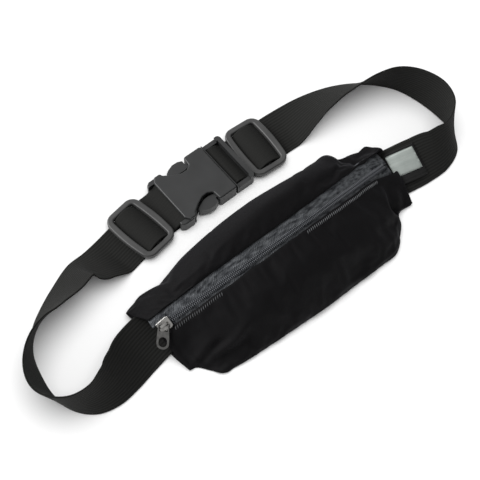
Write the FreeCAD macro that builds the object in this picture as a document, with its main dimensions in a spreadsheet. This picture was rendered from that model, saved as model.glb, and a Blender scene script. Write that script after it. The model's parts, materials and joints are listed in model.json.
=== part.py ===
import FreeCAD, Part
import math
import os
import re
import Sketcher

# Zipped waist pouch on an elastic webbing belt, lying on its back panel with the belt laid out behind it.
# X runs along the pouch and its zipper, +Y from the pouch to the buckle, +Z up.
# The origin is the middle of the back panel, on the surface that the pouch rests on.

Vector = FreeCAD.Vector
doc = FreeCAD.newDocument("waist_pouch")
sizes = doc.addObject("Spreadsheet::Sheet", "Sizes")

DRIVING_SIZES = [
    ("webbing_width", 38.0, "elastic belt webbing"),
    ("webbing_thick", 1.6, "elastic belt webbing"),
    ("fabric_thick", 1.2, "pouch shell fabric"),
    ("seam_reach", 108.0, "from the middle to each end seam"),
    ("zip_rise", 29.0, "how far the zipper's middle stands above its ends"),
    ("zip_lean", 11.0, "how far the zipper's middle leans to the front of its ends"),
    ("zip_end_height", 15.0, "zipper centre line at the end seams"),
    ("zip_end_back", 13.5, "zipper centre line at the end seams, towards the back"),
    ("tape_half", 7.5, "visible half width of the zipper"),
    ("tape_thick", 0.9, "zipper tape"),
    ("coil_half", 3.0, "half width of the meshed coils"),
    ("coil_height", 1.9, "coils above the tape"),
    ("slider_length", 11.0, "along the chain"),
    ("slider_width", 9.0, "across the chain"),
    ("plate_thick", 1.2, "slider's two plates"),
    ("plate_edge", 0.5, "radius of the upper plate's edges"),
    ("bridge_length", 6.3, "slider bridge along the chain"),
    ("bridge_width", 1.7, "slider bridge across the chain"),
    ("bridge_height", 2.8, "slider bridge above the top plate"),
    ("bridge_leg", 0.95, "each leg of the bridge"),
    ("bridge_bar", 0.9, "the bridge's top bar"),
    ("bridge_corner", 0.9, "radius of the bridge's corners"),
    ("pull_neck", 7.8, "zipper pull at its eye"),
    ("pull_width", 9.2, "zipper pull at its widest"),
    ("pull_reach", 17.4, "pivot to the pull's tip"),
    ("pull_thick", 1.2, "zipper pull"),
    ("pull_tip", 4.2, "radius of the pull's tip corners"),
    ("eye_wall", 0.7, "pull beside its eye"),
    ("eye_reach", 4.6, "far end of the pull's eye"),
    ("hole_start", 8.6, "near end of the pull's oval hole"),
    ("hole_end", 15.8, "far end of that hole"),
    ("hole_half", 3.1, "half width of that hole"),
    ("hole_corner", 3.0, "radius of that hole's ends"),
    ("pivot_height", 4.3, "the pull's cross rod over the top of the tape"),
    ("glide_length", 34.0, "triglide along the webbing"),
    ("glide_width", 48.4, "triglide across the webbing"),
    ("glide_bar", 5.6, "triglide's outer bars, along the webbing"),
    ("glide_rail", 4.7, "triglide's side rails, across the webbing"),
    ("glide_low", 4.0, "underside of the triglide's frame"),
    ("glide_top", 7.5, "top of the triglide's frame"),
    ("glide_core", 3.0, "centre bar along the webbing"),
    ("glide_core_low", 3.6, "underside of the centre bar"),
    ("glide_core_top", 5.7, "top of the centre bar"),
    ("glide_corner", 8.5, "radius of the triglide's corners"),
    ("glide_bow", 2.2, "how far the triglide's outer bars bow outward"),
    ("glide_inner_bow", 1.0, "how far the window's long sides bow outward"),
    ("glide_inner_corner", 2.4, "radius of the window's corners"),
    ("glide_edge", 1.3, "radius of the frame's top edges"),
    ("sleeve_length", 5.8, "sewn end of the webbing round the centre bar, along the webbing"),
    ("sleeve_low", 1.95, "underside of that sewn end"),
    ("sleeve_height", 5.5, "underside to top of that sewn end"),
    ("sleeve_gap", 0.15, "room between the centre bar and the webbing round it"),
    ("buckle_row", 94.0, "buckle's centre line behind the middle of the pouch"),
    ("buckle_width", 46.0, "buckle across the webbing"),
    ("buckle_height", 12.0, "socket, bottom to top"),
    ("socket_front", 11.5, "the socket's mouth, along X"),
    ("socket_back", 36.0, "the back edge of the socket's top plate, along -X"),
    ("ear_back", 41.0, "the back of the socket's ears, along -X"),
    ("ear_root", 27.0, "where the ears leave the socket, along -X"),
    ("ear_bulge", 0.4, "how far the ears stand out past the socket's sides"),
    ("ear_low", 0.3, "underside of the ears"),
    ("ear_corner", 1.6, "radius of the ears' back corners"),
    ("ear_edge", 1.0, "radius of the ears' top edges"),
    ("socket_floor", 2.2, "thickness of the bottom plate"),
    ("socket_roof", 9.6, "underside of the top plate"),
    ("socket_bore", 38.8, "width inside the socket"),
    ("bore_end", 24.0, "inner end of the socket's hollow, along -X"),
    ("way_end", 28.0, "inner end of the room for the webbing, along -X"),
    ("mouth_corner", 2.0, "radius of the corners beside the socket's mouth"),
    ("socket_edge", 1.1, "radius of the top plate's edges"),
    ("window_corner", 1.8, "radius of the corners of the button windows"),
    ("bar_height", 4.65, "centre of the buckle's webbing bars"),
    ("bar_radius", 2.3, "the buckle's webbing bars"),
    ("socket_bar", 33.0, "socket's webbing bar, along -X"),
    ("plug_bar", 17.3, "plug's webbing bar, along X"),
    ("plug_end", 29.2, "free end of the plug, along X"),
    ("plug_low", 0.8, "underside of the plug's frame"),
    ("plug_high", 10.6, "top of the plug's frame"),
    ("plug_rim", 3.5, "plug's end bar along X"),
    ("plug_corner", 3.0, "radius of the plug's end corners"),
    ("rail_drop", 2.6, "how far the plug's side rails lie below its top"),
    ("end_bar_low", 5.4, "underside of the plug's end bar, over the webbing"),
    ("root_low", 2.6, "underside of the bar that the spring arms grow from"),
    ("root_high", 9.2, "top of that bar"),
    ("root_half", 18.8, "half width of that bar"),
    ("guide_reach", 20.0, "tip of the plug's centre guide, along -X"),
    ("guide_half", 2.0, "half width of the centre guide"),
    ("prong_root", 6.8, "where the plug's spring arms flex, along X"),
    ("prong_low", 2.8, "underside of the spring arms"),
    ("prong_high", 9.2, "top of the spring arms"),
    ("prong_corner", 1.2, "radius of the corners of the arms' buttons"),
]
for row, (alias, value, note) in enumerate(DRIVING_SIZES, start=1):
    sizes.set(f"A{row}", alias)
    sizes.set(f"B{row}", str(value))
    sizes.set(f"C{row}", note)
    sizes.setAlias(f"B{row}", alias)
doc.recompute()


def size(alias):
    return float(sizes.get(alias))


parts = []


def keep(shape_owner, label):
    """Name a finished sub-part after its file."""
    shape_owner.Label = label
    parts.append(shape_owner)
    return shape_owner


def feature(label, shape, seat=None):
    """A sub-part from a shape that is modelled in the seat's own frame."""
    made = doc.addObject("Part::Feature", label)
    made.Shape = shape
    made.Placement = seat or FreeCAD.Placement()
    return keep(made, label)


# ---------------------------------------------------------------- sketches and solid features

ALIASES = {alias for alias, _, _ in DRIVING_SIZES}


NEAR = 0.1  # how near an edge has to lie to a size that picks it out


def bound(text):
    """An expression over the sheet, from one written with bare names of its cells."""
    return re.sub(r"[a-z_]+", lambda word: "Sizes." + word[0] if word[0] in ALIASES else word[0], text)


def new_body(label, placement=None):
    body = doc.addObject("PartDesign::Body", label)
    body.Placement = placement or FreeCAD.Placement()
    return keep(body, label)


def new_sketch(body, plane, offset=None):
    """A sketch on one of the body's own planes, lifted off it by an expression."""
    sketch = body.newObject("Sketcher::SketchObject", body.Name + "_sketch")
    planes = {feature.Role: feature for feature in body.Origin.OriginFeatures}
    sketch.AttachmentSupport = [(planes[plane], "")]
    sketch.MapMode = "FlatFace"
    if offset:
        sketch.setExpression("AttachmentOffset.Base.z", bound(offset))
    return sketch


def place_point(sketch, geometry, position, across, along):
    """Fix one sketch point by two expressions."""
    drawn = sketch.getPoint(geometry, position)
    for kind, start, text in (("DistanceX", drawn.x, across), ("DistanceY", drawn.y, along)):
        number = sketch.addConstraint(Sketcher.Constraint(kind, -1, 1, geometry, position, start))
        sketch.setExpression(f"Constraints[{number}]", bound(text))


def add_polygon(sketch, corners):
    """A closed outline whose corners are pairs of expressions."""
    count = len(corners)
    first = sketch.GeometryCount
    ring = [Vector(math.cos(math.tau * i / count), math.sin(math.tau * i / count)) for i in range(count)]
    for i in range(count):
        sketch.addGeometry(Part.LineSegment(ring[i], ring[(i + 1) % count]))
    for i in range(count):
        sketch.addConstraint(Sketcher.Constraint("Coincident", first + i, 2, first + (i + 1) % count, 1))
        place_point(sketch, first + i, 1, *corners[i])


def add_rectangle(sketch, left, bottom, right, top):
    add_polygon(sketch, [(left, bottom), (right, bottom), (right, top), (left, top)])


def add_bowed_rectangle(sketch, half_long, half_wide, bow):
    """A rectangle about the origin whose two sides across X bow outward; all three sizes are expressions."""
    drawn_radius, drawn_half, drawn_side = 200, 10, 20
    spread = math.asin(drawn_side / drawn_radius)
    first = sketch.GeometryCount
    for side, facing in ((1, 0), (-1, math.pi)):
        circle = Part.Circle(Vector(side * (drawn_half - drawn_radius), 0), Vector(0, 0, 1), drawn_radius)
        sketch.addGeometry(Part.ArcOfCircle(circle, facing - spread, facing + spread))
    for side in (1, -1):
        start = Vector(side * drawn_half, side * drawn_side)
        sketch.addGeometry(Part.LineSegment(start, Vector(-start.x, start.y)))
    for one, two in ((0, 2), (2, 1), (1, 3), (3, 0)):
        sketch.addConstraint(Sketcher.Constraint("Coincident", first + one, 2, first + two, 1))
    for arc, side, other in ((0, "", "-"), (1, "-", "")):
        number = sketch.addConstraint(Sketcher.Constraint("Radius", first + arc, float(drawn_radius)))
        radius = f"(({half_wide}) ^ 2 + ({bow}) ^ 2) / (2 * ({bow}))"
        sketch.setExpression(f"Constraints[{number}]", bound(radius))
        end = f"{side}(({half_long}) - ({bow}))"
        place_point(sketch, first + arc, 1, end, f"{other}({half_wide})")
        place_point(sketch, first + arc, 2, end, f"{side}({half_wide})")


def add_circle(sketch, across, along, radius):
    circle = sketch.addGeometry(Part.Circle(Vector(1, 1), Vector(0, 0, 1), 1))
    place_point(sketch, circle, 3, across, along)
    number = sketch.addConstraint(Sketcher.Constraint("Radius", circle, 1.0))
    sketch.setExpression(f"Constraints[{number}]", bound(radius))


def extrude(body, sketch, kind, length, midplane=False, flipped=False):
    """A Pad or Pocket of a sketch, its length bound to the sheet and its effect on the volume checked."""
    doc.recompute()
    before = body.Shape.Volume if body.Tip else 0.0
    made = body.newObject("PartDesign::" + kind, body.Name + "_" + kind.lower())
    made.Profile = sketch
    made.Midplane = midplane
    made.Reversed = flipped
    if length:
        made.setExpression("Length", bound(length))
    else:
        made.Type = "ThroughAll"
    doc.recompute()
    change = body.Shape.Volume - before
    if (change > 0) != (kind == "Pad"):
        raise RuntimeError(f"{made.Name} changes the volume by {change:.1f}")
    return made


def dress(body, radius, chosen):
    """Round the edges of a body that a test chooses, by a radius from the sheet."""
    tip = body.Tip
    names = [f"Edge{i}" for i, edge in enumerate(tip.Shape.Edges, start=1) if chosen(edge)]
    if not names:
        raise RuntimeError("no edges chosen on " + body.Name)
    made = body.newObject("PartDesign::Fillet", body.Name + "_fillet")
    made.Base = (tip, names)
    made.setExpression("Radius", bound(radius))
    doc.recompute()
    if "Invalid" in made.State or made.Shape.isNull() or not made.Shape.isValid():
        raise RuntimeError(f"{made.Name} failed with {len(names)} edges")
    return made


def is_upright(edge):
    """A straight edge along Z."""
    if edge.Curve.TypeId != "Part::GeomLine":
        return False
    return abs(edge.tangentAt(edge.FirstParameter).z) > 0.999


def lies_at(edge, height):
    box = edge.BoundBox
    return abs(box.ZMin - height) < 1e-4 and abs(box.ZMax - height) < 1e-4


# ---------------------------------------------------------------- triglide adjusters

GLIDE_SEATS = {
    "left": FreeCAD.Placement(Vector(-65.4, 91.3, 0), FreeCAD.Rotation(Vector(0, 0, 1), 9)),
    "right": FreeCAD.Placement(Vector(46.9, 92.5, 0), FreeCAD.Rotation(Vector(0, 0, 1), -3.5)),
}


def make_triglide(side):
    body = new_body("triglide_" + side, GLIDE_SEATS[side])
    frame = new_sketch(body, "XY_Plane", "glide_low")
    add_bowed_rectangle(frame, "glide_length / 2", "glide_width / 2", "glide_bow")
    extrude(body, frame, "Pad", "glide_top - glide_low")
    dress(body, "glide_corner", is_upright)
    window = new_sketch(body, "XY_Plane", "glide_top")
    half_long, half_wide = "glide_length / 2 - glide_bar", "glide_width / 2 - glide_rail"
    add_bowed_rectangle(window, half_long, half_wide, "glide_inner_bow")
    extrude(body, window, "Pocket", None)
    inside = size("glide_width") / 2 - size("glide_rail") + NEAR
    dress(body, "glide_inner_corner", lambda edge: is_upright(edge) and abs(edge.BoundBox.YMax) < inside)
    core = new_sketch(body, "XY_Plane", "glide_core_low")
    add_rectangle(core, "-glide_core / 2", "-glide_width / 2 + 1", "glide_core / 2", "glide_width / 2 - 1")
    extrude(body, core, "Pad", "glide_core_top - glide_core_low")
    dress(body, "glide_edge", lambda edge: lies_at(edge, size("glide_top")))


for side in GLIDE_SEATS:
    make_triglide(side)


# ---------------------------------------------------------------- side-release buckle

BUCKLE_SEAT = FreeCAD.Placement(Vector(0, size("buckle_row"), 0), FreeCAD.Rotation())
# Outlines on one side of the buckle: X, and the distance across from its centre line.
BUTTON_WINDOW = [(-4.8, 25), (-5.6, 15.2), (-9.5, 12.9), (-14.5, 13.2), (-21, 16.4), (-27, 20.6), (-27.6, 25)]
PRONG_OUTLINE = [
    (6.4, 14.8),
    (6.4, 18.4),
    (-3.5, 18.6),
    (-6.6, 19.2),
    (-6.6, 22.4),
    (-10, 24.0),
    (-15, 24.2),
    (-20, 22.3),
    (-24, 19.6),
    (-21, 17.6),
    (-15, 14.9),
    (-10, 14.6),
    (-5, 15.6),
]


def make_socket():
    """Two plates round an open mouth, with a window for each button, and a webbing bar between two ears."""
    body = new_body("buckle_socket", BUCKLE_SEAT)
    outline = new_sketch(body, "XY_Plane")
    add_polygon(outline, [
        ("-socket_back", "-webbing_width / 2"),
        ("-socket_back + 3", "-buckle_width / 2"),
        ("socket_front", "-buckle_width / 2"),
        ("socket_front", "buckle_width / 2"),
        ("-socket_back + 3", "buckle_width / 2"),
        ("-socket_back", "webbing_width / 2"),
    ])
    extrude(body, outline, "Pad", "buckle_height")
    front = size("socket_front") - NEAR
    dress(body, "mouth_corner", lambda edge: is_upright(edge) and edge.BoundBox.XMax > front)
    windows = new_sketch(body, "XY_Plane", "buckle_height")
    for side in (-1, 1):
        add_polygon(windows, [(str(along), str(side * across)) for along, across in BUTTON_WINDOW])
    extrude(body, windows, "Pocket", None)
    start = min(along for along, _ in BUTTON_WINDOW) - NEAR
    end = max(along for along, _ in BUTTON_WINDOW) + NEAR
    dress(body, "window_corner", lambda edge: is_upright(edge) and start < edge.BoundBox.XMin < end)
    dress(body, "socket_edge", lambda edge: lies_at(edge, size("buckle_height")))
    mouth = new_sketch(body, "YZ_Plane", "socket_front")
    add_rectangle(mouth, "-socket_bore / 2", "socket_floor", "socket_bore / 2", "socket_roof")
    extrude(body, mouth, "Pocket", "socket_front + bore_end")
    webbing_way = new_sketch(body, "XY_Plane")
    add_rectangle(webbing_way, "-ear_back - 1", "-buckle_width / 2", "-way_end", "buckle_width / 2")
    extrude(body, webbing_way, "Pocket", "socket_roof", flipped=True)
    ears = new_sketch(body, "XY_Plane", "ear_low")
    for side in ("", "-"):
        add_polygon(ears, [
            ("-ear_root", side + "socket_bore / 2"),
            ("-ear_root", side + "(buckle_width / 2 - 1.6)"),
            ("-ear_root - 3.5", side + "(buckle_width / 2 + ear_bulge)"),
            ("-ear_back + 3", side + "(buckle_width / 2 + ear_bulge)"),
            ("-ear_back", side + "(buckle_width / 2 - 1.6)"),
            ("-ear_back", side + "socket_bore / 2"),
        ])
    extrude(body, ears, "Pad", "socket_roof")
    ear_end = -size("ear_back") + 3 + NEAR
    ear_inside = size("socket_bore") / 2 + NEAR
    dress(body, "ear_corner", lambda edge: is_upright(edge) and edge.BoundBox.XMax < ear_end
          and abs(edge.BoundBox.YMin) > ear_inside)
    ear_top = size("ear_low") + size("socket_roof")
    dress(body, "ear_edge", lambda edge: lies_at(edge, ear_top) and edge.BoundBox.XMax < ear_end)
    bar = new_sketch(body, "XZ_Plane")
    add_circle(bar, "-socket_bar", "bar_height", "bar_radius")
    extrude(body, bar, "Pad", "socket_bore + 2", midplane=True)


def make_plug():
    """The male half's frame: root bar in the socket's mouth, centre guide, webbing bar and end bar."""
    body = new_body("buckle_plug", BUCKLE_SEAT)
    frame = new_sketch(body, "XY_Plane", "plug_low")
    add_rectangle(frame, "socket_front + 0.5", "-buckle_width / 2", "plug_end", "buckle_width / 2")
    extrude(body, frame, "Pad", "plug_high - plug_low")
    dress(body, "plug_corner", lambda edge: is_upright(edge) and edge.BoundBox.XMax > size("plug_end") - NEAR)
    slot = new_sketch(body, "XY_Plane", "plug_high")
    add_rectangle(slot, "socket_front + 1.2", "-socket_bore / 2", "plug_end - plug_rim", "socket_bore / 2")
    extrude(body, slot, "Pocket", None)
    rails = new_sketch(body, "XY_Plane", "plug_high")
    for side in ("", "-"):
        add_rectangle(
            rails,
            "socket_front + 1.2",
            side + "(socket_bore / 2 - 1)",
            "plug_end - plug_rim - 0.8",
            side + "(buckle_width / 2 + 1)",
        )
    extrude(body, rails, "Pocket", "rail_drop")
    under_end = new_sketch(body, "XY_Plane")
    add_rectangle(under_end, "plug_end - plug_rim - 1", "-socket_bore / 2", "plug_end + 1", "socket_bore / 2")
    extrude(body, under_end, "Pocket", "end_bar_low", flipped=True)
    root = new_sketch(body, "XY_Plane", "root_low")
    add_rectangle(root, "prong_root", "-root_half", "socket_front + 1", "root_half")
    extrude(body, root, "Pad", "root_high - root_low")
    guide = new_sketch(body, "XY_Plane", "root_low + 0.6")
    add_rectangle(guide, "-guide_reach", "-guide_half", "prong_root + 1", "guide_half")
    extrude(body, guide, "Pad", "root_high - root_low - 1.2")
    bar = new_sketch(body, "XZ_Plane")
    add_circle(bar, "plug_bar", "bar_height", "bar_radius")
    extrude(body, bar, "Pad", "socket_bore + 2", midplane=True)


def make_prong(label, side):
    """One spring arm, with the barb behind the socket's side wall and the button in its window."""
    body = new_body(label, BUCKLE_SEAT)
    arm = new_sketch(body, "XY_Plane", "prong_low")
    add_polygon(arm, [(str(along), str(side * across)) for along, across in PRONG_OUTLINE])
    extrude(body, arm, "Pad", "prong_high - prong_low")
    button_end = -size("socket_front") + 2.5
    dress(body, "prong_corner", lambda edge: is_upright(edge) and edge.BoundBox.XMax < button_end)


make_socket()
make_plug()
make_prong("plug_prong_near", -1)
make_prong("plug_prong_far", 1)


# ---------------------------------------------------------------- zipper

ZIP_SAG = math.hypot(size("zip_rise"), size("zip_lean"))
ZIP_RADIUS = (size("seam_reach") ** 2 + ZIP_SAG ** 2) / (2 * ZIP_SAG)
ZIP_OUT = Vector(0, -size("zip_lean"), size("zip_rise")) / ZIP_SAG
ZIP_ACROSS = Vector(1, 0, 0).cross(ZIP_OUT)
ZIP_ENDS = Vector(0, size("zip_end_back"), size("zip_end_height"))
ZIP_CENTRE = ZIP_ENDS - ZIP_OUT * (ZIP_RADIUS - ZIP_SAG)
SLIDER_REST = -math.degrees(math.asin(102.0 / ZIP_RADIUS))


def zip_point(along, across, above=0.0):
    """A point at a given X, measured across the chain towards the front, and above the tape."""
    reach = math.sqrt(max((ZIP_RADIUS + above) ** 2 - along ** 2, 0))
    return ZIP_CENTRE + Vector(along, 0, 0) + ZIP_OUT * reach + ZIP_ACROSS * across


def zip_strip(from_x, to_x, near, far, low, high):
    """A solid strip that follows the zipper's arc."""
    start = math.asin(from_x / ZIP_RADIUS)
    turn = math.degrees(math.asin(to_x / ZIP_RADIUS) - start)
    outward = ZIP_OUT * math.cos(start) + Vector(math.sin(start), 0, 0)
    corners = [
        ZIP_CENTRE + outward * (ZIP_RADIUS + above) + ZIP_ACROSS * across
        for across, above in ((near, low), (far, low), (far, high), (near, high), (near, low))
    ]
    return Part.Face(Part.makePolygon(corners)).revolve(ZIP_CENTRE, ZIP_ACROSS * -1, turn)


def make_zipper():
    reach = size("seam_reach")
    split = -103.4
    for name, side in (("upper", -1), ("lower", 1)):
        wide = zip_strip(split, reach, side * 0.2, side * size("tape_half"), -size("tape_thick"), 0)
        parted = zip_strip(-reach, split, side * 2.4, side * size("tape_half"), -size("tape_thick"), 0)
        feature("zipper_tape_" + name, wide.fuse(parted).removeSplitter())
        coil = zip_strip(split, reach, side * 0.05, side * size("coil_half"), 0.05, size("coil_height"))
        feature("zipper_coil_" + name, coil)


def slider_seat():
    """Where the slider's own frame stands: X along the chain, Y across it and Z out of it."""
    upright = FreeCAD.Rotation(Vector(1, 0, 0), ZIP_ACROSS * -1, ZIP_OUT, "ZXY")
    swing = FreeCAD.Rotation(ZIP_ACROSS * -1, SLIDER_REST)
    outward = swing.multVec(ZIP_OUT)
    return FreeCAD.Placement(ZIP_CENTRE + outward * ZIP_RADIUS, swing.multiply(upright))


PULL_TURN = 230.0  # the way the pull hangs, about the slider's Z from the chain's +X


def make_slider():
    body = new_body("slider_body", slider_seat())
    plate = [
        ("-slider_length / 2", "-slider_width / 2 + 0.8"),
        ("slider_length / 2 - 1.5", "-slider_width / 2"),
        ("slider_length / 2", "-slider_width / 2 + 1"),
        ("slider_length / 2", "slider_width / 2 - 1"),
        ("slider_length / 2 - 1.5", "slider_width / 2"),
        ("-slider_length / 2", "slider_width / 2 - 0.8"),
    ]
    lower = new_sketch(body, "XY_Plane", "-plate_thick - 1.2")
    add_polygon(lower, plate)
    extrude(body, lower, "Pad", "plate_thick")
    post = new_sketch(body, "XY_Plane", "-1.3")
    add_rectangle(post, "-slider_length / 2 + 0.2", "-1.5", "-slider_length / 2 + 3.2", "1.5")
    extrude(body, post, "Pad", "3.7")
    upper = new_sketch(body, "XY_Plane", "coil_height + 0.3")
    add_polygon(upper, plate)
    extrude(body, upper, "Pad", "plate_thick")
    for side in ("", "-"):
        flange = new_sketch(body, "XY_Plane", "0.3")
        outer, inner = side + "slider_width / 2", side + "(slider_width / 2 - 1)"
        add_rectangle(flange, "-slider_length / 2 + 3", inner, "slider_length / 2 - 1.5", outer)
        extrude(body, flange, "Pad", "coil_height + 0.3")
    top = size("coil_height") + 0.3 + size("plate_thick")
    dress(body, "plate_edge", lambda edge: lies_at(edge, top))


def make_bridge():
    body = new_body("slider_bridge", slider_seat())
    side = new_sketch(body, "XZ_Plane")
    base = "coil_height + 0.32 + plate_thick"
    crest = base + " + bridge_height"
    add_polygon(side, [
        ("-bridge_length / 2", base),
        ("-bridge_length / 2 + bridge_leg", base),
        ("-bridge_length / 2 + bridge_leg", crest + " - bridge_bar"),
        ("bridge_length / 2 - bridge_leg", crest + " - bridge_bar"),
        ("bridge_length / 2 - bridge_leg", base),
        ("bridge_length / 2", base),
        ("bridge_length / 2", crest),
        ("-bridge_length / 2", crest),
    ])
    extrude(body, side, "Pad", "bridge_width", midplane=True)
    highest = size("coil_height") + 0.32 + size("plate_thick") + size("bridge_height")
    longest = size("bridge_width") + NEAR
    dress(body, "bridge_corner", lambda edge: lies_at(edge, highest) and edge.Length < longest)


def make_pull():
    """A flat tab along its own X, with a rod through the bridge and an oval hole near its rounded tip."""
    seat = slider_seat()
    turn = FreeCAD.Placement(Vector(0, 0, size("pivot_height")), FreeCAD.Rotation(Vector(0, 0, 1), PULL_TURN))
    body = new_body("pull_tab", seat.multiply(turn))
    tab = new_sketch(body, "XY_Plane", "-pull_thick / 2")
    add_polygon(tab, [
        ("0", "-pull_neck / 2"),
        ("pull_reach / 2", "-pull_width / 2"),
        ("pull_reach", "-pull_width / 2"),
        ("pull_reach", "pull_width / 2"),
        ("pull_reach / 2", "pull_width / 2"),
        ("0", "pull_neck / 2"),
    ])
    extrude(body, tab, "Pad", "pull_thick")
    tip = size("pull_reach") - NEAR
    dress(body, "pull_tip", lambda edge: is_upright(edge) and edge.BoundBox.XMin > tip)
    openings = new_sketch(body, "XY_Plane", "pull_thick")
    add_rectangle(openings, "-1", "-pull_neck / 2 + eye_wall", "eye_reach", "pull_neck / 2 - eye_wall")
    add_rectangle(openings, "hole_start", "-hole_half", "hole_end", "hole_half")
    extrude(body, openings, "Pocket", None)
    start, inside = size("hole_start") - NEAR, size("hole_half") + NEAR
    dress(body, "hole_corner", lambda edge: is_upright(edge) and edge.BoundBox.XMin > start
          and abs(edge.BoundBox.YMin) < inside)
    rod = new_sketch(body, "XZ_Plane")
    add_circle(rod, "0", "0", "pull_thick / 2")
    extrude(body, rod, "Pad", "pull_neck", midplane=True)


make_zipper()
make_slider()
make_bridge()
make_pull()


# ---------------------------------------------------------------- belt webbing

# Each route follows the webbing's lower edge from the pouch to the buckle: X, Y, height and roll.
# A roll of 0 lies flat with the outer face up, 90 stands on its edge, and more leans outward.
LEFT_ROUTE = [
    (-98, -0.5, 1.5, 7),
    (-108, -2.2, 1.4, 11),
    (-125, -5, 0, 25),
    (-142.5, -8.5, 0, 43),
    (-159.5, -10, 0, 57),
    (-175.5, -5.5, 0, 74),
    (-187, 7, 0, 97),
    (-192, 24, 0, 109),
    (-190.5, 42, 0, 103),
    (-185.5, 60, 0, 84),
    (-174.5, 75.5, 0, 65),
    (-159.5, 86, 0, 52),
    (-143, 94.5, 0, 42),
    (-126, 101.5, 0, 34),
    (-108, 103.5, 0, 20),
    (-91, 106.5, 0, 5),
    (-83, 108.3, 0, 0),
    (-62, 111.4, 0, 0),
    (-46, 112.7, 0, 0),
    (-33, 113, 0, 0),
]
RIGHT_ROUTE = [
    (98, -8.5, 1.5, 11),
    (108, -10, 1.4, 16),
    (119, -11.8, 0.4, 24),
    (134, -13.5, 0, 36),
    (152, -13, 0, 51),
    (168.5, -5, 0, 66),
    (177, 12, 0, 88),
    (177.5, 30, 0, 99),
    (175, 48.5, 0, 95),
    (169.5, 65.5, 0, 83),
    (159.5, 79.5, 0, 68),
    (146.5, 91, 0, 54),
    (131, 100, 0, 43),
    (114.5, 106, 0, 32),
    (97, 110, 0, 20),
    (79, 112, 0, 7),
    (62, 112.7, 0, 0),
    (46, 113, 0, 0),
    (31, 113, 0, 0),
    (size("plug_bar"), 113, 0, 0),
]


def webbing_frames(route, heading):
    """For each point of a route: the lower edge, the way across and the way out of the outer face."""
    points = [Vector(x, y, height) for x, y, height, _ in route]
    tangents = [Vector(heading, 0, 0)]
    for before, after in zip(points, points[2:]):
        tangents.append(Vector(after.x - before.x, after.y - before.y, 0).normalize())
    tangents[0] = Vector(points[1].x - points[0].x, points[1].y - points[0].y, 0).normalize()
    tangents.append(Vector(-heading, 0, 0))
    frames = []
    for point, tangent, (_, _, _, roll) in zip(points, tangents, route):
        inward = Vector(tangent.y, -tangent.x, 0) * -heading
        across = inward * math.cos(math.radians(roll)) + Vector(0, 0, math.sin(math.radians(roll)))
        outward = tangent.cross(across) * heading
        lift = max(0, -outward.z * size("webbing_thick"))
        frames.append((point + Vector(0, 0, lift), across, outward))
    return frames


def webbing_solid(frames, near, far, low, high):
    """A strip between two distances across the webbing and two heights over its inner face."""
    sections = []
    for edge, across, outward in frames:
        corners = [
            edge + across * reach + outward * height
            for reach, height in ((near, low), (far, low), (far, high), (near, high), (near, low))
        ]
        sections.append(Part.makePolygon(corners))
    return Part.makeLoft(sections, True, True)


def folded_webbing(path, thickness, width):
    """Webbing that runs along a path in its own XZ plane, as a closed strip of even width."""
    spline = Part.BSplineCurve()
    spline.interpolate([Vector(x, -width / 2, z) for x, z in path])
    steps = 24
    upper = []
    lower = []
    for step in range(steps + 1):
        at = spline.FirstParameter + (spline.LastParameter - spline.FirstParameter) * step / steps
        tangent = Vector(*spline.tangent(at)[0])
        reach = Vector(-tangent.z, 0, tangent.x) * thickness / 2
        upper.append(spline.value(at) + reach)
        lower.append(spline.value(at) - reach)
    upper_line = Part.BSplineCurve()
    upper_line.interpolate(upper)
    lower_line = Part.BSplineCurve()
    lower_line.interpolate(lower[::-1])
    outline = Part.Wire([
        upper_line.toShape(),
        Part.makeLine(upper[-1], lower[-1]),
        lower_line.toShape(),
        Part.makeLine(lower[0], upper[0]),
    ])
    return Part.Face(outline).extrude(Vector(0, width, 0))


def arc_path(centre_x, centre_z, radius, start, end, steps=6):
    """Points round a bar, by angle from +X towards +Z."""
    angles = [math.radians(start + (end - start) * step / steps) for step in range(steps + 1)]
    return [(centre_x + radius * math.cos(angle), centre_z + radius * math.sin(angle)) for angle in angles]


# X and Z of the webbing's middle, where the turned layer comes down and where it rises over a centre bar.
LEFT_TAIL = [(-36.7, 7.5), (-40.3, 5.2), (-43.6, 3.3), (-47, 2.9), (-56, 2.9)]
RIGHT_TAIL = [(21.5, 6.6), (25.5, 3.9), (29, 3.0), (32.5, 2.9), (36, 2.9)]
GLIDE_HUMP = [
    (-15.5, 2.95),
    (-13, 2.95),
    (-10.3, 3.05),
    (-6.3, 6.3),
    (-2.4, 8.5),
    (2.4, 8.5),
    (6.3, 6.3),
    (10.3, 3.05),
    (13, 2.95),
    (15.5, 2.95),
]


def hump_space(side):
    """The room under and over a triglide that its own hump of webbing takes."""
    half = -GLIDE_HUMP[0][0] + 0.35
    wide = size("glide_width") + 10
    space = Part.makeBox(2 * half, wide, 12, Vector(-half, -wide / 2, 0))
    space.Placement = GLIDE_SEATS[side]
    return space


def sewn_end(width):
    """The end of the webbing, sewn round the triglide's centre bar."""
    long, low, height = size("sleeve_length"), size("sleeve_low"), size("sleeve_height")
    sleeve = Part.makeBox(long, width, height, Vector(-long / 2, -width / 2, low))
    sleeve = sleeve.makeFillet(1.5, [edge for edge in sleeve.Edges if edge.Length > width - 0.1])
    gap = size("sleeve_gap")
    bore = Part.makeBox(
        size("glide_core") + 2 * gap,
        width + 1,
        size("glide_core_top") - size("glide_core_low") + 2 * gap,
        Vector(-size("glide_core") / 2 - gap, -width / 2 - 0.5, size("glide_core_low") - gap),
    )
    return sleeve.cut(bore)


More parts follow.
